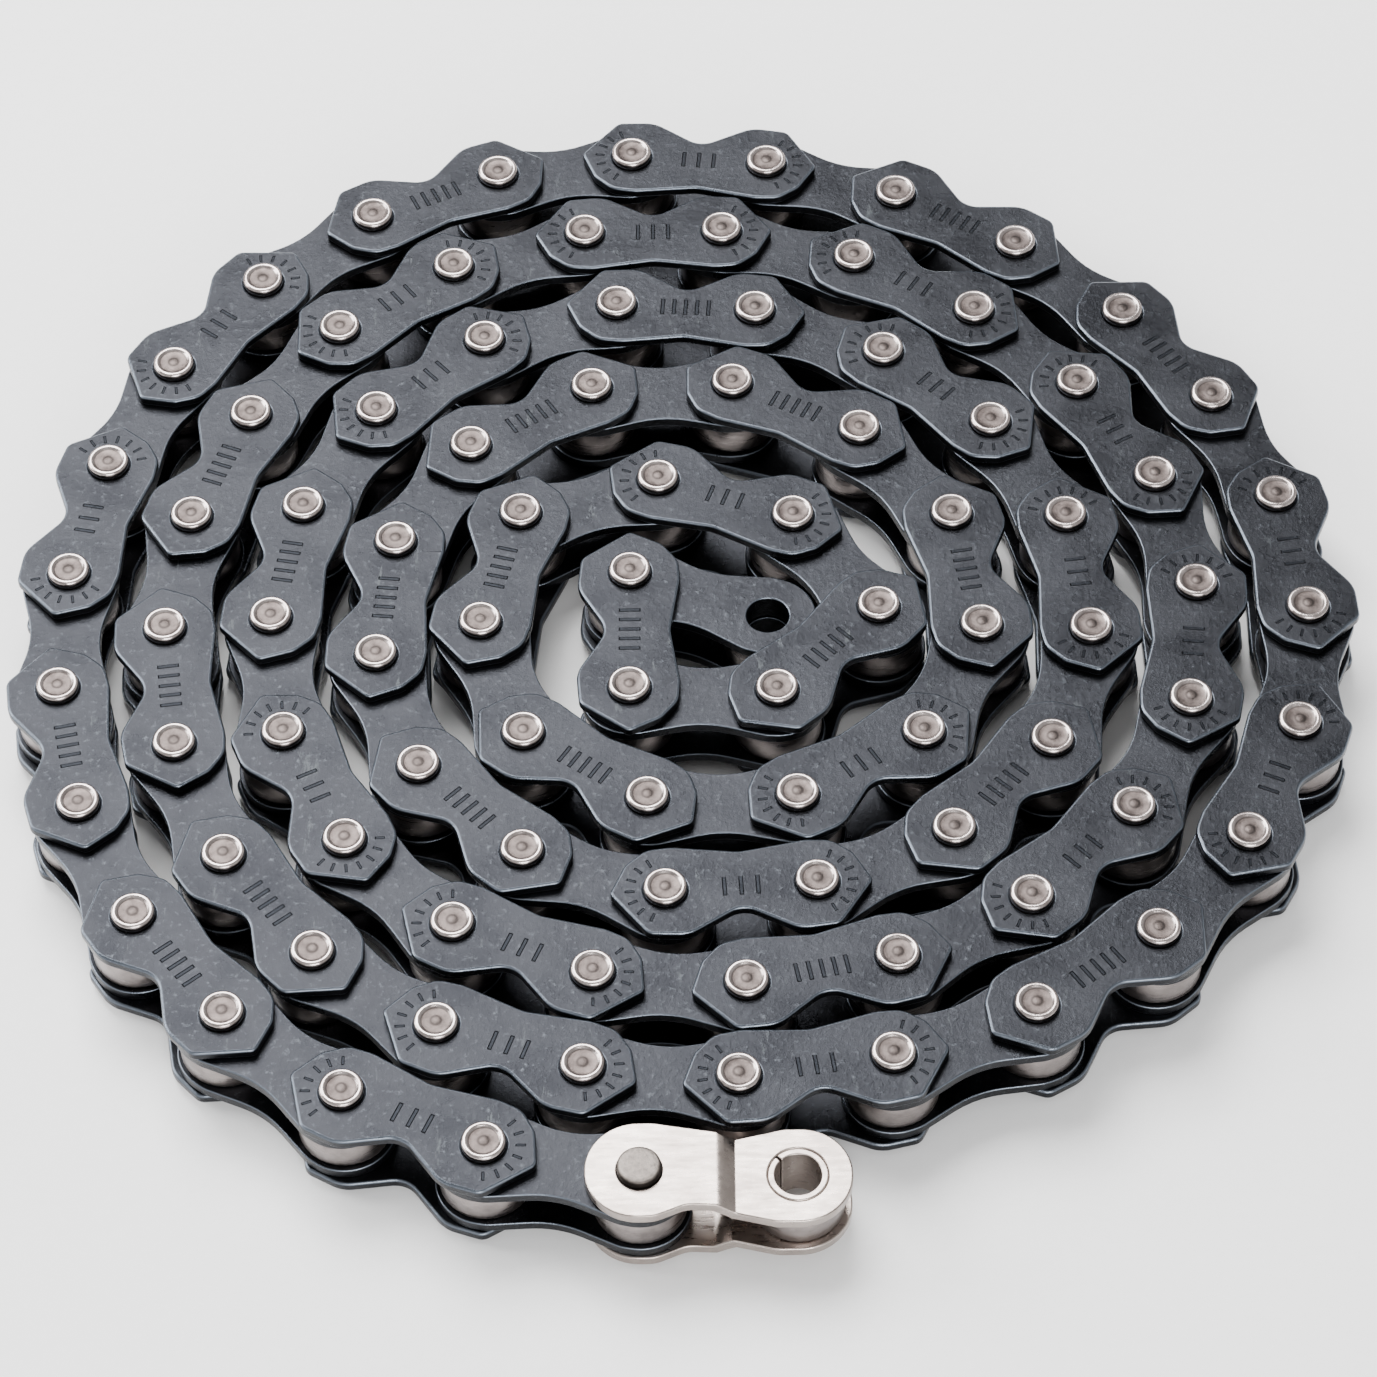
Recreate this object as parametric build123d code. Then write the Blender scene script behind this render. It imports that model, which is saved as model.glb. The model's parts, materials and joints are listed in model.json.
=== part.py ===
from build123d import *
from functools import cache
from math import atan2, cos, degrees, dist, hypot, radians, sin, tan
import os

# A half-inch by eighth-inch single-speed bicycle chain, lying on its side in a flat coil.
#
# The chain has 90 links: a cranked half link at the outer end, then 45 inner links and 44 outer
# links in turn. Every pin is upright. The last half turn at the outer end and the free inner link
# at the centre are links that swing on their pins, and the rest of the coil is one body.
#
# Each piece is first made in its own link's frame: the origin is midway between the link's two
# pins and midway through the chain's width, +X runs along the chain towards the inner end, and +Y
# points to the outer side of the coil. The whole model stands on Z = 0, with the middle of the
# coil's box on the Z axis. All sizes are in millimetres.

# Along the chain
PITCH = 12.7
LINKS = 90
SWINGING_PINS = 13  # pins of the tail, counted from the half link's rivet

# Across the chain, from the middle outwards
INNER_WIDTH = 3.3
PLATE_THICKNESS = 1.0
SIDE_GAP = 0.08  # running gap between an inner plate and the outer plate on it
RIVET_PROUD = 0.77

# Pins, collars and rollers
RIVET_RADIUS = 1.8
RIVET_HEAD_RADIUS = 1.85
DISH_RADIUS = 1.35
DISH_DEPTH = 0.2
COLLAR_BORE_RADIUS = 1.87
COLLAR_RADIUS = 2.45
COLLAR_GAP = 0.3  # between the two collars that meet inside a roller
ROLLER_BORE_RADIUS = 2.53
ROLLER_RADIUS = 3.875
ROLLER_WIDTH = 3.1
BUSHING_SEAM = 0.12
SEAM_ANGLE = -45

# The half link steps from the outer plates' level down to the inner plates' level
CRANK_START = 0.25
CRANK_END = -1.35

HALF_PITCH = PITCH / 2
INNER_FACE = INNER_WIDTH / 2
OUTER_FACE = INNER_FACE + PLATE_THICKNESS + SIDE_GAP
HALF_HEIGHT = OUTER_FACE + PLATE_THICKNESS + RIVET_PROUD

# Corners of half of an outer plate: (x, y, corner radius). They start at the deep waist on the
# coil's outer side, go round the coined tip beyond the pin, and end at the shallow inner waist.
OUTER_PLATE_HALF = [
    (0.0, 1.95, 2.2),
    (4.6, 4.62, 3.0),
    (8.0, 4.32, 1.1),
    (11.05, 0.05, 0.7),
    (9.6, -2.8, 1.4),
    (7.8, -4.25, 2.2),
    (5.6, -4.4, 3.0),
    (0.0, -3.55, 3.0),
]

# Corners of half of an inner plate, a figure of eight with the same waist on both sides
INNER_PLATE_HALF = [
    (0.0, 2.8, 9.0),
    (5.5, 4.2, 3.6),
    (10.55, 4.2, 4.15),
    (10.55, -4.2, 4.15),
    (5.5, -4.2, 3.6),
    (0.0, -2.8, 9.0),
]

# Corners of the whole half link plate, once round from the wide end's outer side
HALF_LINK_PLATE = [
    (10.75, 4.4, 4.3),
    (5.2, 4.4, 3.0),
    (2.6, 3.3, 2.5),
    (-1.0, 3.5, 5.0),
    (-4.6, 4.4, 3.5),
    (-10.75, 4.4, 4.3),
    (-10.75, -4.3, 4.2),
    (-5.2, -4.3, 2.5),
    (-0.9, -3.3, 2.0),
    (5.3, -4.4, 3.0),
    (10.75, -4.4, 4.3),
]

# How the coil lies: a spiral whose radius shrinks evenly as it turns inwards, made slightly oval and
# three-lobed by shares of that radius. Angles are in degrees turned inwards from the outer end.
COIL_RADIUS = 58.7
TURN_SPACING = 9.22
OUTER_END_ANGLE = -83.5
OVAL, OVAL_AT = 0.014, 128
LOBES, LOBES_AT = 0.016, 49
ANGLE_TOLERANCE = 1e-7

# The innermost links turn too sharply for the spiral: the bend at each of the last pins
CORE_BENDS = [33, 58, 37, 35, 80, 47, 88, 109]


def spiral_point(turned):
    """Where the spiral is, by the angle turned inwards from its outer end."""
    radius = COIL_RADIUS - TURN_SPACING * turned / 360
    oval = OVAL * cos(radians(2 * (turned - OVAL_AT)))
    lobes = LOBES * cos(radians(3 * (turned - LOBES_AT)))
    radius *= 1 + oval + lobes
    angle = radians(OUTER_END_ANGLE - turned)
    return radius * cos(angle), radius * sin(angle)


def one_pitch_on(turned):
    """The angle at which the spiral is next one pitch away, found by halving."""
    start = spiral_point(turned)
    near, far = turned, turned + 90
    while far - near > ANGLE_TOLERANCE:
        middle = (near + far) / 2
        if dist(start, spiral_point(middle)) < PITCH:
            near = middle
        else:
            far = middle
    return near


def coil_layout():
    """The pins' centres and the links' headings in degrees, from the outer end inwards."""
    turned = 0
    pins = [spiral_point(turned)]
    headings = []
    for _ in range(LINKS - len(CORE_BENDS)):
        turned = one_pitch_on(turned)
        pins.append(spiral_point(turned))
        (x0, y0), (x1, y1) = pins[-2:]
        headings.append(degrees(atan2(y1 - y0, x1 - x0)))
    for bend in CORE_BENDS:
        headings.append(headings[-1] - bend)
        x, y = pins[-1]
        angle = radians(headings[-1])
        pins.append((x + PITCH * cos(angle), y + PITCH * sin(angle)))
    return pins, headings


def mirrored(half):
    """All corners of an outline that is the same on both sides of its middle."""
    return half + [(-x, y, radius) for x, y, radius in reversed(half[1:-1])]


def rounded_face(corners):
    """A flat face inside straight lines that meet in round corners."""
    arcs = []
    for number, (x, y, radius) in enumerate(corners):
        before, after = corners[number - 1], corners[(number + 1) % len(corners)]
        back = atan2(before[1] - y, before[0] - x)
        ahead = atan2(after[1] - y, after[0] - x)
        opening = (ahead - back) % radians(360)
        middle = back + opening / 2
        half_angle = min(opening, radians(360) - opening) / 2
        if opening > radians(180):
            middle += radians(180)
        run = radius / tan(half_angle)
        depth = radius / sin(half_angle) - radius
        start = (x + run * cos(back), y + run * sin(back))
        top = (x + depth * cos(middle), y + depth * sin(middle))
        end = (x + run * cos(ahead), y + run * sin(ahead))
        arcs.append((start, top, end))
    edges = []
    for number, (start, top, end) in enumerate(arcs):
        last_end = arcs[number - 1][2]
        if hypot(start[0] - last_end[0], start[1] - last_end[1]) > 0.001:
            edges.append(Edge.make_line(last_end, start))
        edges.append(Edge.make_three_point_arc(start, top, end))
    return Face(Wire(edges))


def upright(radius, low, high, x=0.0):
    """A round bar along Z between two heights."""
    return Pos(x, 0, low) * Cylinder(radius, high - low, align=(Align.CENTER, Align.CENTER, Align.MIN))


def slab(corners, low, thickness):
    """A flat plate with the given outline."""
    return Pos(0, 0, low) * extrude(rounded_face(corners), thickness, dir=(0, 0, 1))


@cache
def outer_plate():
    """The upper outer plate of an outer link, with its two rivet holes."""
    plate = slab(mirrored(OUTER_PLATE_HALF), OUTER_FACE, PLATE_THICKNESS)
    for x in (-HALF_PITCH, HALF_PITCH):
        plate -= upright(RIVET_RADIUS, 0, HALF_HEIGHT, x)
    return plate


@cache
def inner_plate():
    """The upper inner plate of an inner link, with a collar drawn down round each hole."""
    plate = slab(mirrored(INNER_PLATE_HALF), INNER_FACE, PLATE_THICKNESS)
    for x in (-HALF_PITCH, HALF_PITCH):
        plate += upright(COLLAR_RADIUS, COLLAR_GAP / 2, INNER_FACE + PLATE_THICKNESS / 2, x)
    for x in (-HALF_PITCH, HALF_PITCH):
        plate -= upright(COLLAR_BORE_RADIUS, 0, HALF_HEIGHT, x)
    return plate


@cache
def half_link_plate():
    """The upper cranked plate of the half link: wide at +X, narrow at -X."""
    rise = OUTER_FACE - INNER_FACE
    slope = atan2(rise, CRANK_START - CRANK_END)
    shift = PLATE_THICKNESS * tan(slope / 2)  # keeps the sheet's thickness through both bends
    reach = PITCH
    side = [
        (-reach, INNER_FACE),
        (CRANK_END + shift, INNER_FACE),
        (CRANK_START + shift, OUTER_FACE),
        (reach, OUTER_FACE),
        (reach, OUTER_FACE + PLATE_THICKNESS),
        (CRANK_START, OUTER_FACE + PLATE_THICKNESS),
        (CRANK_END, INNER_FACE + PLATE_THICKNESS),
        (-reach, INNER_FACE + PLATE_THICKNESS),
    ]
    profile = Plane.XZ * make_face(Polyline(*side, close=True))
    sheet = extrude(profile, PITCH, dir=(0, 1, 0), both=True)
    plate = sheet & slab(HALF_LINK_PLATE, 0, HALF_HEIGHT)
    plate -= upright(COLLAR_RADIUS, 0, HALF_HEIGHT, -HALF_PITCH)
    plate -= upright(RIVET_RADIUS, 0, HALF_HEIGHT, HALF_PITCH)
    return plate


@cache
def half_link_bushing():
    """The half link's full-width bushing, rolled from strip, so that it has a seam."""
    half_length = INNER_FACE + PLATE_THICKNESS
    bushing = upright(COLLAR_RADIUS, -half_length, half_length)
    bushing -= upright(COLLAR_BORE_RADIUS, -half_length, half_length)
    seam = Pos(COLLAR_RADIUS, 0, 0) * Box(COLLAR_RADIUS, BUSHING_SEAM, 2 * half_length)
    seam = Rot(0, 0, SEAM_ANGLE) * seam
    return Pos(-HALF_PITCH, 0, 0) * (bushing - seam)


@cache
def roller(x):
    """A loose roller on the collars or bushing at one pin."""
    half_width = ROLLER_WIDTH / 2
    ring = upright(ROLLER_RADIUS, -half_width, half_width, x)
    return ring - upright(ROLLER_BORE_RADIUS, -half_width, half_width, x)


@cache
def rivet(x):
    """A rivet with a peened, slightly wider and dished head at each end."""
    plates_top = OUTER_FACE + PLATE_THICKNESS
    bar = upright(RIVET_RADIUS, -plates_top, plates_top, x)
    for low, high in ((plates_top, HALF_HEIGHT), (-HALF_HEIGHT, -plates_top)):
        bar += upright(RIVET_HEAD_RADIUS, low, high, x)
    for low, high in (
        (HALF_HEIGHT - DISH_DEPTH, HALF_HEIGHT),
        (-HALF_HEIGHT, DISH_DEPTH - HALF_HEIGHT),
    ):
        bar -= upright(DISH_RADIUS, low, high, x)
    return bar


@cache
def half_link_rivet():
    """The half link's plain rivet, with flat ends."""
    return upright(RIVET_RADIUS, -HALF_HEIGHT, HALF_HEIGHT, HALF_PITCH)


@cache
def lower(upper):
    """The lower twin of an upper plate."""
    return mirror(upper, about=Plane.XY)


def inner_link(name):
    """An inner link's nodes: two plates and two rollers."""
    top = inner_plate()
    return {
        name + "_plate_top": [top],
        name + "_plate_bottom": [lower(top)],
        name + "_roller_a": [roller(-HALF_PITCH)],
        name + "_roller_b": [roller(HALF_PITCH)],
    }


def outer_link(name):
    """An outer link's nodes: two plates, and its two rivets together."""
    top = outer_plate()
    return {
        name + "_plate_top": [top],
        name + "_plate_bottom": [lower(top)],
        name + "_rivets": [rivet(-HALF_PITCH), rivet(HALF_PITCH)],
    }


def half_link():
    """The half link's nodes."""
    top = half_link_plate()
    return {
        "half_link_plate_top": [top],
        "half_link_plate_bottom": [lower(top)],
        "half_link_bushing": [half_link_bushing()],
        "half_link_rivet": [half_link_rivet()],
        "half_link_roller": [roller(-HALF_PITCH)],
    }


def coil_link(number):
    """The nodes that a link of the wound coil adds its pieces to."""
    if number % 2:
        top = inner_plate()
        return {
            "coil_inner_plates_top": [top],
            "coil_inner_plates_bottom": [lower(top)],
            "coil_rollers": [roller(-HALF_PITCH), roller(HALF_PITCH)],
        }
    top = outer_plate()
    return {
        "coil_outer_plates_top": [top],
        "coil_outer_plates_bottom": [lower(top)],
        "coil_rivets": [rivet(-HALF_PITCH), rivet(HALF_PITCH)],
    }


def link_nodes(number):
    """The pieces of one link, in its own frame, by the node that they belong to."""
    if number == 0:
        return half_link()
    if number == LINKS - 1:
        return inner_link("end_inner_link")
    if number < SWINGING_PINS:
        place = (number + 1) // 2
        return inner_link(f"inner_link_{place}") if number % 2 else outer_link(f"outer_link_{place}")
    return coil_link(number)


def middle_of(solids):
    """The middle of the box round some solids, in plan."""
    boxes = [solid.bounding_box() for solid in solids]
    x = (min(box.min.X for box in boxes) + max(box.max.X for box in boxes)) / 2
    y = (min(box.min.Y for box in boxes) + max(box.max.Y for box in boxes)) / 2
    return x, y


def build_nodes():
    """Every node's solids in place, and the pins' centres."""
    pins, headings = coil_layout()
    nodes = {}
    for number in range(LINKS):
        (x0, y0), (x1, y1) = pins[number], pins[number + 1]
        place = Location(((x0 + x1) / 2, (y0 + y1) / 2, HALF_HEIGHT), (0, 0, headings[number]))
        for node, pieces in link_nodes(number).items():
            for piece in pieces:
                nodes.setdefault(node, []).append(piece.solid().moved(place))
    outline = [solid for node, solids in nodes.items() if "plate" in node for solid in solids]
    x_middle, y_middle = middle_of(outline)
    shift = Location((-x_middle, -y_middle, 0))
    moved = {node: [solid.moved(shift) for solid in solids] for node, solids in nodes.items()}
    return moved, [(x - x_middle, y - y_middle) for x, y in pins]


nodes, pins = build_nodes()
os.makedirs("parts", exist_ok=True)
for node, solids in nodes.items():
    export_step(solids[0] if len(solids) == 1 else Compound(solids), f"parts/{node}.step")
for number, (x, y) in enumerate(pins):
    print(f"pin {number}: {x:.4f} {y:.4f}")
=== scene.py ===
"""Looks of the coiled bicycle chain: finer plates, rivets and rollers, materials, light and camera."""

import json
from math import cos, pi, radians, sin

import bmesh
import bpy
from mathutils import Matrix, Vector


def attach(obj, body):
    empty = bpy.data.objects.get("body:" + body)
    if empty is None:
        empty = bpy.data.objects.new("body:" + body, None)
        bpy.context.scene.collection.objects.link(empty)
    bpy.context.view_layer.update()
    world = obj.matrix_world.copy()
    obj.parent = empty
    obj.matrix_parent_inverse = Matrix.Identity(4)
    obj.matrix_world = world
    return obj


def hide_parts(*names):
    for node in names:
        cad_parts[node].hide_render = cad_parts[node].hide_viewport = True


MM = 0.001

# Chain sizes that the finer pieces follow, in millimetres
PITCH = 12.7
MIDDLE_HEIGHT = 4.5
SAME_PIN = 0.2
PLATE_EDGE = 0.26
COLLAR_EDGE = 0.14
NICKEL_EDGE = 0.16

# How upright a face's normal is on a flat cap, and on an upright wall
CAP_SLOPE = 0.9995
WALL_SLOPE = 0.02
PAST_THE_MARKS = 100

# How the CAD meshes are cleaned and rounded: distances in millimetres, angles in degrees
PLACE_DECIMALS = 2
WELD_DISTANCE = 0.002
LATHE_WELD_DISTANCE = 0.001
FLAT_ANGLE = 0.6
SHARP_ANGLE = 38
EDGE_SEGMENTS = 2

# Half of a rivet's outline from the axis outwards, as (radius, height above the chain's middle):
# a small centre bump, a dished floor, a raised rim and a rounded shoulder
RIVET_OUTLINE = [
    (0.0, 4.36), (0.25, 4.36), (0.42, 4.315), (1.15, 4.3), (1.3, 4.34), (1.38, 4.45), (1.46, 4.49),
    (1.56, 4.5), (1.66, 4.48), (1.76, 4.41), (1.82, 4.3), (1.85, 4.18), (1.85, 3.82), (1.8, 3.74),
]
# The half link's rivet has a flat end with a broken edge
FLAT_RIVET_OUTLINE = [(0.0, 4.5), (1.2, 4.5), (1.55, 4.48), (1.7, 4.42), (1.78, 4.3), (1.8, 3.9)]
ROLLER_OUTLINE = [
    (2.53, 1.38), (2.58, 1.48), (2.68, 1.54), (3.55, 1.55), (3.72, 1.52), (3.83, 1.42), (3.875, 1.26),
]
TURNS_OF_LATHE = 32

# Camera, measured from the middle of the coil
CAMERA_AT = (0.2, -255.3, 330.7)
CAMERA_ELEVATION = 52.46
CAMERA_ROLL = -1.33
LENS = 123.7
SENSOR_WIDTH = 36
CLIP_START = 0.01

# Stage, in metres and watts, with each light as (name, place, width, power), aimed at the coil
FLOOR_HALF_WIDTH = 3.0
SKY_STRENGTH = 0.7
LIGHTS = [
    ("overhead", (-0.15, 0.35, 0.6), 0.45, 11),
    ("front", (0.1, -0.7, 0.35), 0.4, 6),
    ("left", (-0.7, 0.2, 0.4), 0.35, 6),
]

# Outer links with marks round their rivets, from the half link inwards
ARC_MARKED = {1, 4, 5, 7, 10, 11, 13, 14, 18, 19, 20, 21, 22, 23, 25, 26, 28, 30, 31, 33, 39, 42}

TAIL_OUTER_LINKS = 6

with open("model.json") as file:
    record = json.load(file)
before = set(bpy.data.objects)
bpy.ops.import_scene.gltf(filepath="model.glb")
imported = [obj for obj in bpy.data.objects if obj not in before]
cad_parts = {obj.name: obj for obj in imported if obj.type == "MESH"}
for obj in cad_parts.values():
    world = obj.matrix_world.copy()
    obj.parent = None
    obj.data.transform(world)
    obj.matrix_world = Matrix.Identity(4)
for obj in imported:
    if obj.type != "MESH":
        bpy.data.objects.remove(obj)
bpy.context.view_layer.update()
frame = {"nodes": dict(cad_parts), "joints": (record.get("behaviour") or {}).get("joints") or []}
nodes = frame["nodes"]


# Shapes

def islands(mesh):
    """The separate solids of a mesh, each a list of vertex indices."""
    bm = bmesh.new()
    bm.from_mesh(mesh)
    places = {}
    for vertex in bm.verts:
        places.setdefault(tuple(round(c / MM, PLACE_DECIMALS) for c in vertex.co), []).append(vertex)
    twins = {v: group for group in places.values() for v in group}
    seen = set()
    found = []
    for start in bm.verts:
        if start in seen:
            continue
        seen.add(start)
        island, waiting = [], [start]
        while waiting:
            vertex = waiting.pop()
            island.append(vertex.index)
            near = [edge.other_vert(vertex) for edge in vertex.link_edges] + twins[vertex]
            for other in near:
                if other not in seen:
                    seen.add(other)
                    waiting.append(other)
        found.append(island)
    bm.free()
    return found


def middle(mesh, island):
    """The middle of an island's box in plan."""
    points = [mesh.vertices[i].co for i in island]
    x = (min(p.x for p in points) + max(p.x for p in points)) / 2
    y = (min(p.y for p in points) + max(p.y for p in points)) / 2
    return Vector((x, y))


def middles(name):
    """The middle of every solid of a node."""
    mesh = nodes[name].data
    return [middle(mesh, island) for island in islands(mesh)]


def link_frame(a, b):
    """A link between two pins as (centre, direction along the chain), its outer side to the left."""
    centre = (a + b) / 2
    along = (b - a).normalized()
    if Vector((-along.y, along.x)).dot(centre) < 0:
        along = -along
    return centre, along


def nearest_pins(centre, pins):
    """The two pins of the link whose plate has its middle at centre."""
    return sorted(pins, key=lambda pin: abs((pin - centre).length - PITCH / 2 * MM))[:2]


def shade_edges(mesh):
    """Shades caps flat and walls smooth, and stores how far into a rounded edge each point is."""
    caps, walls = {}, {}
    for face in mesh.polygons:
        for index in face.vertices:
            if abs(face.normal.z) > CAP_SLOPE:
                caps[index] = Vector((0, 0, 1 if face.normal.z > 0 else -1))
            elif abs(face.normal.z) < WALL_SLOPE:
                walls[index] = walls.get(index, Vector()) + face.normal * face.area
    plain = [vertex.normal.copy() for vertex in mesh.vertices]
    normals = []
    for loop in mesh.loops:
        index = loop.vertex_index
        normal = caps.get(index) or walls.get(index, plain[index])
        normals.append(normal.normalized())
    mesh.normals_split_custom_set(normals)
    edge = mesh.attributes.new("edge", "FLOAT", "POINT")
    for index in range(len(mesh.vertices)):
        edge.data[index].value = 0.0 if index in caps or index in walls else 1.0


def rounded(mesh, width):
    """A copy of a CAD mesh with its sharp edges rounded."""
    if "custom_normal" in mesh.attributes:
        mesh.attributes.remove(mesh.attributes["custom_normal"])
    piece = bpy.data.objects.new("blank", mesh)
    bpy.context.scene.collection.objects.link(piece)
    weld = piece.modifiers.new("weld", "WELD")
    weld.merge_threshold = WELD_DISTANCE * MM
    flatten = piece.modifiers.new("flatten", "DECIMATE")
    flatten.decimate_type = "DISSOLVE"
    flatten.angle_limit = radians(FLAT_ANGLE)
    flatten.delimit = {"MATERIAL"}
    bevel = piece.modifiers.new("edges", "BEVEL")
    bevel.width = width * MM
    bevel.segments = EDGE_SEGMENTS
    bevel.limit_method = "ANGLE"
    bevel.angle_limit = radians(SHARP_ANGLE)
    bevel.use_clamp_overlap = False
    graph = bpy.context.evaluated_depsgraph_get()
    shape = bpy.data.meshes.new_from_object(piece.evaluated_get(graph))
    bpy.data.objects.remove(piece)
    shape.polygons.foreach_set("use_smooth", [True] * len(shape.polygons))
    shade_edges(shape)
    return shape


def new_piece(name, mesh, body, node, finish, *materials):
    """Puts a mesh in the scene, in place of a CAD node."""
    piece = bpy.data.objects.new(name, mesh)
    bpy.context.scene.collection.objects.link(piece)
    for material in materials:
        mesh.materials.append(material)
    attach(piece, body)
    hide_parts(node)


def turned_mesh(name, outline, centres, closed):
    """Turns an outline about each centre. The UV map holds (radius, height) in millimetres."""
    ring = outline + [(r, -z) for r, z in reversed(outline)]
    vertices, faces, uvs = [], [], []
    for centre in centres:
        first = len(vertices)
        for step in range(TURNS_OF_LATHE):
            angle = 2 * pi * step / TURNS_OF_LATHE
            for r, z in ring:
                x = centre.x + r * MM * cos(angle)
                y = centre.y + r * MM * sin(angle)
                vertices.append((x, y, (MIDDLE_HEIGHT + z) * MM))
        count = len(ring)
        for step in range(TURNS_OF_LATHE):
            here, there = first + step * count, first + (step + 1) % TURNS_OF_LATHE * count
            for k in range(count if closed else count - 1):
                n = (k + 1) % count
                faces.append((here + k, here + n, there + n, there + k))
                uvs += [ring[k], ring[n], ring[n], ring[k]]
    mesh = bpy.data.meshes.new(name)
    mesh.from_pydata(vertices, [], faces)
    layer = mesh.uv_layers.new(name="around")
    for loop, uv in zip(layer.data, uvs):
        loop.uv = uv
    bm = bmesh.new()
    bm.from_mesh(mesh)
    bmesh.ops.remove_doubles(bm, verts=bm.verts, dist=LATHE_WELD_DISTANCE * MM)
    bmesh.ops.recalc_face_normals(bm, faces=bm.faces)
    bm.to_mesh(mesh)
    bm.free()
    mesh.polygons.foreach_set("use_smooth", [True] * len(mesh.polygons))
    return mesh


def marked_plates(node, body, pins, marked):
    """A node's outer plates with rounded edges and a UV map of each link's own millimetres.

    Faces other than the outward one are mapped past the marks."""
    outward = 1 if node.endswith("top") else -1
    mesh = nodes[node].data.copy()
    groups = islands(mesh)
    home = {}
    for island in groups:
        centre, along = link_frame(*nearest_pins(middle(mesh, island), pins))
        arc_marked = marked(centre)
        for index in island:
            home[index] = (centre, along, arc_marked)
    layer = mesh.uv_layers.new(name="link")
    for polygon in mesh.polygons:
        past = 0 if polygon.normal.z * outward > CAP_SLOPE else PAST_THE_MARKS
        for loop in polygon.loop_indices:
            index = mesh.loops[loop].vertex_index
            centre, along, _ = home[index]
            offset = mesh.vertices[index].co.xy - centre
            across = -along.y * offset.x + along.x * offset.y
            layer.data[loop].uv = (offset.dot(along) / MM, across / MM + past)
    mesh.materials.clear()
    mesh.materials.append(PLAIN_MARKED)
    mesh.materials.append(ARCS_MARKED)
    for polygon in mesh.polygons:
        polygon.material_index = int(home[polygon.vertices[0]][2])
    new_piece(f"{node}_detail", rounded(mesh, PLATE_EDGE), body, node, "blued_steel")


# Materials

# How far the rounded edges are painted paler: partly oxide rubbed off, partly a painted highlight
EDGE_WEAR_AND_HIGHLIGHT = 0.55

# Marks on the outer plates, in millimetres: pairs are where a stroke's edge starts and ends fading
TICK_FADE = (0.19, 0.11)
TICK_END_FADE = 0.1
PAST_LAST_TICK = 0.4
ARC_STEP = radians(22)
ARC_FADE = (0.13, 0.07)
ARC_INNER_FADE = (2.55, 2.63)
ARC_OUTER_FADE = (3.4, 3.32)
ARC_PAST_RIVET = 0.9


class Nodes:
    """A material's nodes, with short calls for the ones used often."""

    def __init__(self, name):
        self.material = bpy.data.materials.new(name)
        self.material.use_nodes = True
        self.tree = self.material.node_tree
        self.shader = self.tree.nodes["Principled BSDF"]

    def put(self, socket, value):
        if isinstance(value, bpy.types.NodeSocket):
            self.tree.links.new(value, socket)
        else:
            socket.default_value = value

    def math(self, operation, *values):
        node = self.tree.nodes.new("ShaderNodeMath")
        node.operation = operation
        for socket, value in zip(node.inputs, values):
            self.put(socket, value)
        return node.outputs[0]

    def uv(self, name):
        node = self.tree.nodes.new("ShaderNodeUVMap")
        node.uv_map = name
        split = self.tree.nodes.new("ShaderNodeSeparateXYZ")
        self.tree.links.new(node.outputs[0], split.inputs[0])
        return split.outputs[0], split.outputs[1]

    def noise(self, scale, detail=4.0, rough=0.6, stretch=(1, 1, 1)):
        place = self.tree.nodes.new("ShaderNodeTexCoord")
        mapping = self.tree.nodes.new("ShaderNodeMapping")
        mapping.inputs["Scale"].default_value = stretch
        node = self.tree.nodes.new("ShaderNodeTexNoise")
        node.inputs["Scale"].default_value = scale
        node.inputs["Detail"].default_value = detail
        node.inputs["Roughness"].default_value = rough
        self.tree.links.new(place.outputs["Object"], mapping.inputs[0])
        self.tree.links.new(mapping.outputs[0], node.inputs["Vector"])
        return node.outputs["Fac"]

    def span(self, value, low, high, to_low=0.0, to_high=1.0):
        node = self.tree.nodes.new("ShaderNodeMapRange")
        node.clamp = True
        for socket, number in zip(node.inputs, (value, low, high, to_low, to_high)):
            self.put(socket, number)
        return node.outputs[0]

    def mix(self, factor, a, b):
        node = self.tree.nodes.new("ShaderNodeMix")
        node.data_type = "RGBA"
        self.put(node.inputs[0], factor)
        self.put(node.inputs[6], a)
        self.put(node.inputs[7], b)
        return node.outputs[2]

    def edge(self):
        node = self.tree.nodes.new("ShaderNodeAttribute")
        node.attribute_name = "edge"
        return node.outputs["Fac"]

    def bump(self, height, distance, before=None):
        node = self.tree.nodes.new("ShaderNodeBump")
        node.inputs["Distance"].default_value = distance * MM
        self.put(node.inputs["Height"], height)
        if before:
            self.tree.links.new(before, node.inputs["Normal"])
        return node.outputs[0]

    def finish(self, color, roughness, normal, metallic):
        self.put(self.shader.inputs["Base Color"], color)
        self.put(self.shader.inputs["Roughness"], roughness)
        self.put(self.shader.inputs["Normal"], normal)
        self.shader.inputs["Metallic"].default_value = metallic
        return self.material


def tick_row(m, u, v, spacing, half_count, half_length):
    """A row of short upright strokes across the middle of a plate, as 0 to 1."""
    steps = m.math("DIVIDE", u, spacing)
    off = m.math("ABSOLUTE", m.math("SUBTRACT", steps, m.math("ROUND", steps)))
    stroke = m.span(m.math("MULTIPLY", off, spacing), *TICK_FADE)
    within = m.math("LESS_THAN", m.math("ABSOLUTE", u), (half_count + PAST_LAST_TICK) * spacing)
    tall = m.span(m.math("ABSOLUTE", v), half_length, half_length - TICK_END_FADE)
    return m.math("MULTIPLY", m.math("MULTIPLY", stroke, within), tall)


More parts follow.
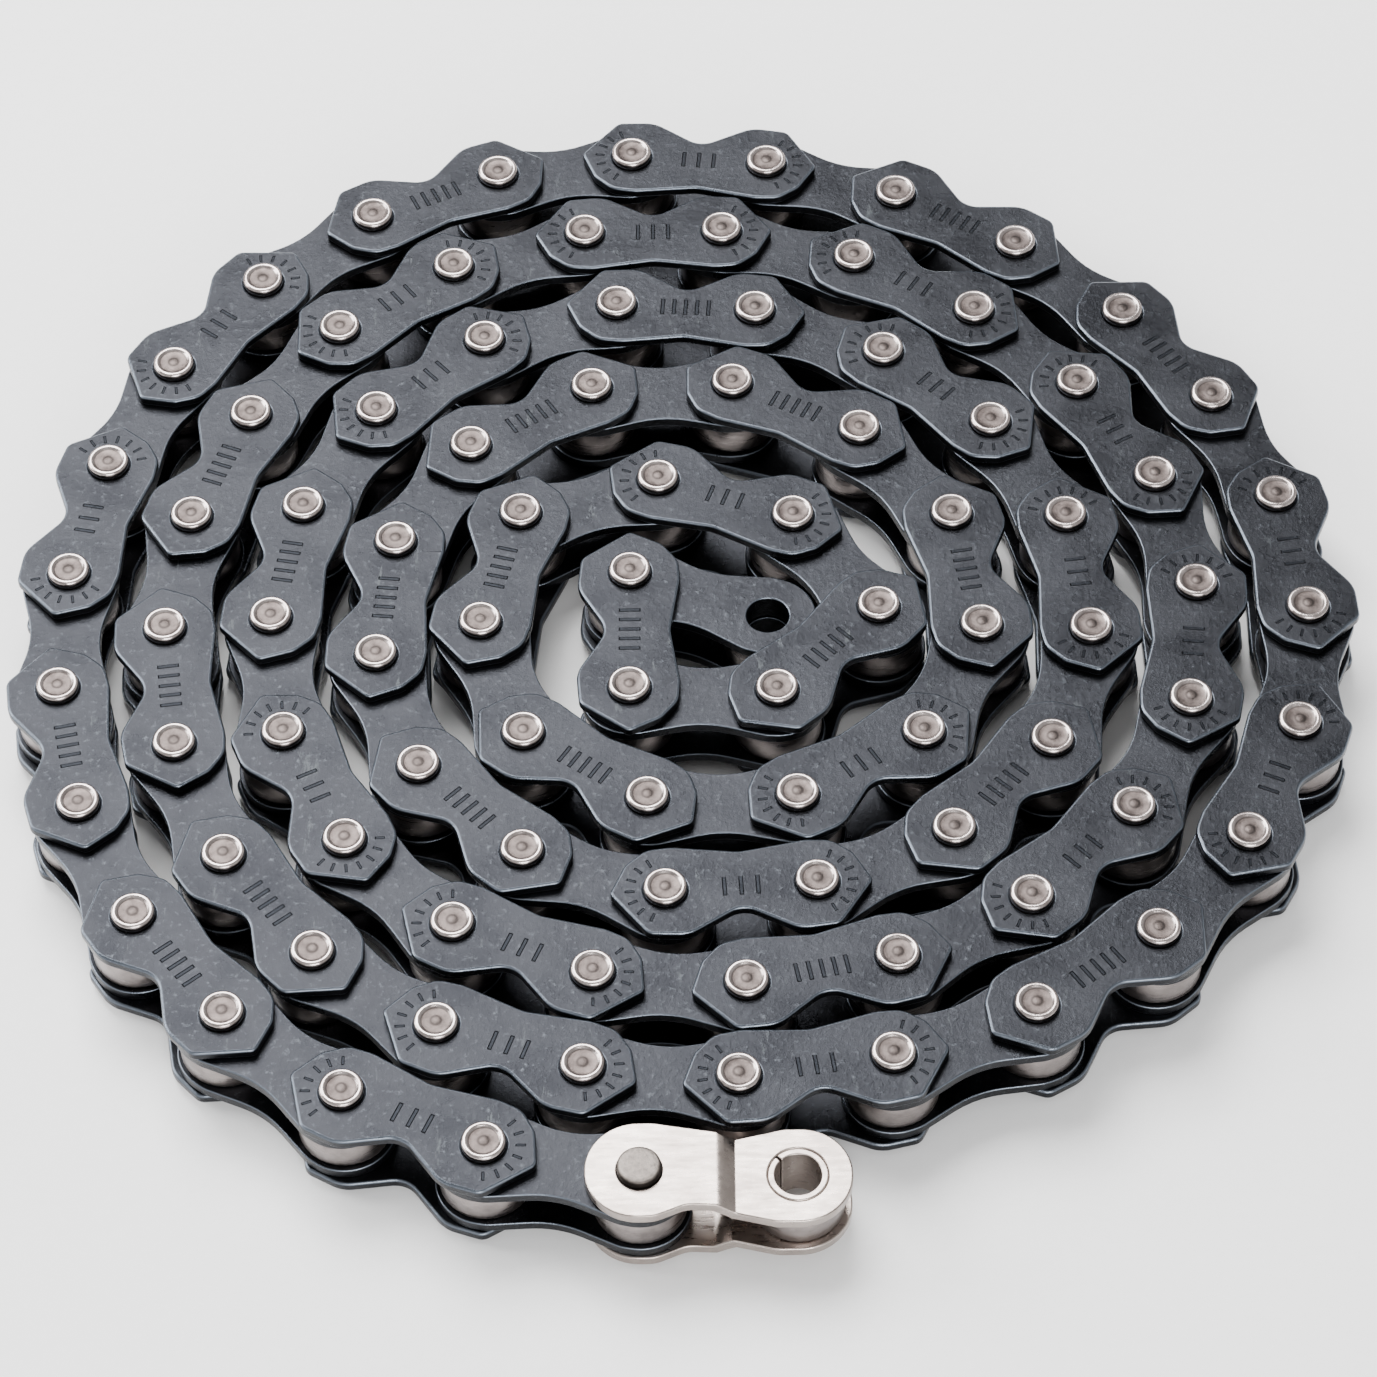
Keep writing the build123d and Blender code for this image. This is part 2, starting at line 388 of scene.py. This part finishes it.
def tick_arcs(m, u, v):
    """Short strokes fanned round the outer half of both rivets, as 0 to 1."""
    out = m.math("SUBTRACT", m.math("ABSOLUTE", u), PITCH / 2)
    radius = m.math("SQRT", m.math("ADD", m.math("MULTIPLY", out, out), m.math("MULTIPLY", v, v)))
    steps = m.math("DIVIDE", m.math("ARCTAN2", v, out), ARC_STEP)
    off = m.math("ABSOLUTE", m.math("SUBTRACT", steps, m.math("ROUND", steps)))
    stroke = m.span(m.math("MULTIPLY", m.math("MULTIPLY", off, ARC_STEP), radius), *ARC_FADE)
    inner_side = m.span(radius, *ARC_INNER_FADE)
    outer_side = m.span(radius, *ARC_OUTER_FADE)
    outer_half = m.math("GREATER_THAN", out, ARC_PAST_RIVET)
    ring = m.math("MULTIPLY", outer_side, outer_half)
    return m.math("MULTIPLY", m.math("MULTIPLY", stroke, inner_side), ring)


def blued_steel(name, marks=None):
    """Blue-black oxide: glossy, finely grained, paler in worn scuffs, and paler along edges as wear and a
    painted highlight.
    """
    m = Nodes(name)
    cloud = m.noise(160, 5)
    grain = m.noise(1700, 5, 0.75)
    scuffs = m.span(m.noise(700, 6, 0.75, (1, 0.25, 1)), 0.62, 0.72)
    dark_oxide = (0.0085, 0.009, 0.011, 1)
    pale_oxide = (0.021, 0.022, 0.0255, 1)
    scuffed = (0.09, 0.1, 0.105, 1)
    # Pale bluish edge colour: partly worn oxide, partly a painted highlight
    worn_edge_and_highlight = (0.27, 0.31, 0.37, 1)
    grain_fleck = (0.065, 0.072, 0.082, 1)
    stamped = (0.004, 0.005, 0.007, 1)
    color = m.mix(m.span(cloud, 0.35, 0.68), dark_oxide, pale_oxide)
    color = m.mix(m.math("MULTIPLY", scuffs, 0.35), color, scuffed)
    # Rounded edges painted pale bluish white: partly wear, partly a painted highlight
    color = m.mix(m.math("MULTIPLY", m.edge(), EDGE_WEAR_AND_HIGHLIGHT), color, worn_edge_and_highlight)
    roughness = m.span(m.math("ADD", cloud, m.math("MULTIPLY", scuffs, 0.3)), 0.3, 0.9, 0.22, 0.46)
    color = m.mix(m.span(grain, 0.56, 0.7, 0, 0.45), color, grain_fleck)
    normal = m.bump(grain, 0.045)
    if marks:
        u, v = m.uv("link")
        cut = marks(m, u, v)
        color = m.mix(m.math("MULTIPLY", cut, 0.75), color, stamped)
        normal = m.bump(m.math("MULTIPLY", cut, -1.0), 0.12, normal)
    return m.finish(color, roughness, normal, 0.92)


def bright_steel(name):
    """Rivet steel: polished rim, duller brownish floor in the dish, with painted shade darkening the
    middle of the dish, a ring round the centre bump and the head's side.
    """
    m = Nodes(name)
    radius, _ = m.uv("around")
    cloud = m.noise(900, 5)
    grain = m.noise(5200, 3, 0.7)
    floor = m.span(radius, 1.36, 1.2)
    centre = m.span(radius, 1.2, 0.5)
    # Painted shade: the middle of the dish, a ring round the centre bump and the head's side are painted
    # darker
    shaded_middle = (0.05, 0.042, 0.04, 1)
    painted_shade_ring = (0.02, 0.017, 0.016, 1)
    shaded_shoulder = (0.16, 0.14, 0.135, 1)
    rim = m.mix(m.span(cloud, 0.35, 0.7), (0.34, 0.29, 0.278, 1), (0.58, 0.52, 0.5, 1))
    low = m.mix(m.span(cloud, 0.35, 0.7), (0.055, 0.045, 0.042, 1), (0.14, 0.115, 0.107, 1))
    color = m.mix(floor, rim, low)
    # Painted shade, darker towards the middle of the dish
    color = m.mix(m.math("MULTIPLY", centre, 0.35), color, shaded_middle)
    # Painted shade in a ring round the centre bump
    ring = m.math("MULTIPLY", m.span(radius, 0.25, 0.4), m.span(radius, 0.6, 0.45))
    color = m.mix(m.math("MULTIPLY", ring, 0.7), color, painted_shade_ring)
    # Painted shade on the head's side, where it meets the plate
    color = m.mix(m.span(radius, 1.81, 1.84), color, shaded_shoulder)
    roughness = m.span(m.math("ADD", floor, m.math("MULTIPLY", cloud, 0.5)), 0.2, 1.4, 0.2, 0.44)
    return m.finish(color, roughness, m.bump(grain, 0.012), 1.0)


def roller_steel(name):
    """Turned steel with an oily grey-brown film."""
    m = Nodes(name)
    cloud = m.noise(380, 5)
    rings = m.noise(900, 4, 0.6, (0.3, 0.3, 6))
    color = m.mix(m.span(cloud, 0.3, 0.7), (0.15, 0.13, 0.125, 1), (0.34, 0.3, 0.285, 1))
    roughness = m.span(rings, 0.3, 0.7, 0.24, 0.42)
    return m.finish(color, roughness, m.bump(rings, 0.01), 1.0)


def nickel_steel(name):
    """Warm nickel plate, cloudy, with faint rolling lines."""
    m = Nodes(name)
    cloud = m.noise(260, 4)
    lines = m.noise(2400, 4, 0.65, (0.18, 1, 1))
    color = m.mix(m.span(cloud, 0.3, 0.7), (0.3, 0.255, 0.232, 1), (0.44, 0.385, 0.35, 1))
    roughness = m.span(lines, 0.3, 0.75, 0.22, 0.42)
    return m.finish(color, roughness, m.bump(lines, 0.02), 1.0)


def ground_steel(name):
    """The half link rivet's rough ground end."""
    m = Nodes(name)
    radius, _ = m.uv("around")
    rough = m.noise(2300, 6, 0.75)
    color = m.mix(m.span(rough, 0.35, 0.65), (0.12, 0.105, 0.095, 1), (0.3, 0.265, 0.24, 1))
    # Painted shade: the broken edge and side of the head are painted near black
    color = m.mix(m.span(radius, 1.6, 1.78), color, (0.02, 0.017, 0.015, 1))
    return m.finish(color, m.span(rough, 0.3, 0.7, 0.35, 0.6), m.bump(rough, 0.06), 1.0)


def paper(name):
    """Pale matt floor with a faint tooth."""
    m = Nodes(name)
    tooth = m.noise(900, 3)
    color = m.mix(m.span(tooth, 0.3, 0.7), (0.93, 0.93, 0.93, 1), (0.95, 0.95, 0.95, 1))
    return m.finish(color, m.span(tooth, 0.3, 0.7, 0.75, 0.85), m.bump(tooth, 0.01), 0.0)


def plain_marks(m, u, v):
    return tick_row(m, u, v, 1.05, 2, 0.95)


def arc_marks(m, u, v):
    return m.math("MAXIMUM", tick_row(m, u, v, 1.4, 1, 0.95), tick_arcs(m, u, v))


PLAIN_MARKED = blued_steel("blued_steel_ticks", plain_marks)
ARCS_MARKED = blued_steel("blued_steel_ticks_and_arcs", arc_marks)
BLUED = blued_steel("blued_steel")
RIVET = bright_steel("rivet_steel")
ROLLER = roller_steel("roller_steel")
NICKEL = nickel_steel("nickel_steel")
GROUND = ground_steel("ground_steel")


# The chain

def coil_link_order(start, outer, inner):
    """The coil's outer links in order from the tail inwards, as centres."""
    unused = outer + inner
    outer_pairs = {id(pair) for pair in outer}
    order = []
    here = start
    while unused:
        best = min(unused, key=lambda pair: min((p - here).length for p in pair))
        if min((p - here).length for p in best) > SAME_PIN * MM:
            break
        unused.remove(best)
        if id(best) in outer_pairs:
            order.append((best[0] + best[1]) / 2)
        here = max(best, key=lambda p: (p - here).length)
    return order


def plain_piece(node, body, finish, material, width):
    """A node's plates with rounded edges and one material."""
    mesh = nodes[node].data.copy()
    mesh.materials.clear()
    mesh.materials.append(material)
    new_piece(f"{node}_detail", rounded(mesh, width), body, node, finish)


def turned(name, body, outline, centres, finish, material, closed):
    """A node's turned pieces in finer detail."""
    mesh = turned_mesh(f"{name}_detail", outline, centres, closed)
    new_piece(f"{name}_detail", mesh, body, name, finish, material)


def build_chain():
    joints = {joint["name"]: Vector(joint["pos_m"]).xy for joint in frame["joints"]}
    coil_pins = middles("coil_rivets")
    coil_middles = middles("coil_outer_plates_top")
    inner_middles = middles("coil_inner_plates_top")
    roller_pins = middles("coil_rollers")
    outer = [nearest_pins(centre, coil_pins) for centre in coil_middles]
    inner = [nearest_pins(centre, roller_pins) for centre in inner_middles]
    order = coil_link_order(joints["pin_13_hinge"], outer, inner)

    def coil_marked(centre):
        place = min(range(len(order)), key=lambda k: (order[k] - centre).length)
        return place + TAIL_OUTER_LINKS + 1 in ARC_MARKED

    for side in ("top", "bottom"):
        marked_plates(f"coil_outer_plates_{side}", "coil", coil_pins, coil_marked)
        plain_piece(f"coil_inner_plates_{side}", "coil", "blued_steel", BLUED, COLLAR_EDGE)
        plain_piece(f"end_inner_link_plate_{side}", "end_inner_link", "blued_steel", BLUED, COLLAR_EDGE)
        plain_piece(f"half_link_plate_{side}", "half_link", "nickel_steel", NICKEL, NICKEL_EDGE)
        for place in range(1, TAIL_OUTER_LINKS + 1):
            body = f"outer_link_{place}"
            pins = middles(f"{body}_rivets")
            marked_plates(f"{body}_plate_{side}", body, pins, lambda _, n=place: n in ARC_MARKED)
            inner_link = f"inner_link_{place}"
            plain_piece(f"{inner_link}_plate_{side}", inner_link, "blued_steel", BLUED, COLLAR_EDGE)
    turned("coil_rivets", "coil", RIVET_OUTLINE, coil_pins, "rivet_steel", RIVET, False)
    turned("coil_rollers", "coil", ROLLER_OUTLINE, roller_pins, "roller_steel", ROLLER, True)
    for place in range(1, TAIL_OUTER_LINKS + 1):
        rivets = f"outer_link_{place}_rivets"
        turned(rivets, f"outer_link_{place}", RIVET_OUTLINE, middles(rivets), "rivet_steel", RIVET, False)
    rollers = [name for name in nodes if "_roller_" in name or name == "half_link_roller"]
    for name in rollers:
        turned(name, name, ROLLER_OUTLINE, middles(name), "roller_steel", ROLLER, True)
    plain_piece("half_link_bushing", "half_link", "nickel_steel", NICKEL, COLLAR_EDGE)
    rivet = middles("half_link_rivet")
    turned("half_link_rivet", "half_link", FLAT_RIVET_OUTLINE, rivet, "rivet_steel", GROUND, False)


# Light and camera

def area_light(name, place, width, power):
    lamp = bpy.data.lights.new(name, "AREA")
    lamp.size = width
    lamp.energy = power
    light = bpy.data.objects.new(name, lamp)
    light.location = place
    light.rotation_euler = (-Vector(place)).to_track_quat("-Z", "Y").to_euler()
    bpy.context.scene.collection.objects.link(light)


def build_stage():
    far = FLOOR_HALF_WIDTH
    mesh = bpy.data.meshes.new("floor")
    corners = [(-far, -far, 0), (far, -far, 0), (far, far, 0), (-far, far, 0)]
    mesh.from_pydata(corners, [], [(0, 1, 2, 3)])
    floor = bpy.data.objects.new("floor", mesh)
    bpy.context.scene.collection.objects.link(floor)
    mesh.materials.append(paper("paper"))
    world = bpy.data.worlds.new("studio")
    world.use_nodes = True
    world.node_tree.nodes["Background"].inputs["Color"].default_value = (1, 1, 1, 1)
    world.node_tree.nodes["Background"].inputs["Strength"].default_value = SKY_STRENGTH
    bpy.context.scene.world = world
    for name, place, width, power in LIGHTS:
        area_light(name, place, width, power)


def build_camera():
    lens = bpy.data.cameras.new("camera")
    lens.lens = LENS
    lens.sensor_width = SENSOR_WIDTH
    lens.clip_start = CLIP_START
    camera = bpy.data.objects.new("camera", lens)
    tilt = Matrix.Rotation(radians(90 - CAMERA_ELEVATION), 4, "X")
    roll = Matrix.Rotation(radians(CAMERA_ROLL), 4, "Z")
    camera.matrix_world = Matrix.Translation(Vector(CAMERA_AT) * MM) @ tilt @ roll
    bpy.context.scene.collection.objects.link(camera)
    bpy.context.scene.camera = camera


build_chain()
build_stage()
build_camera()
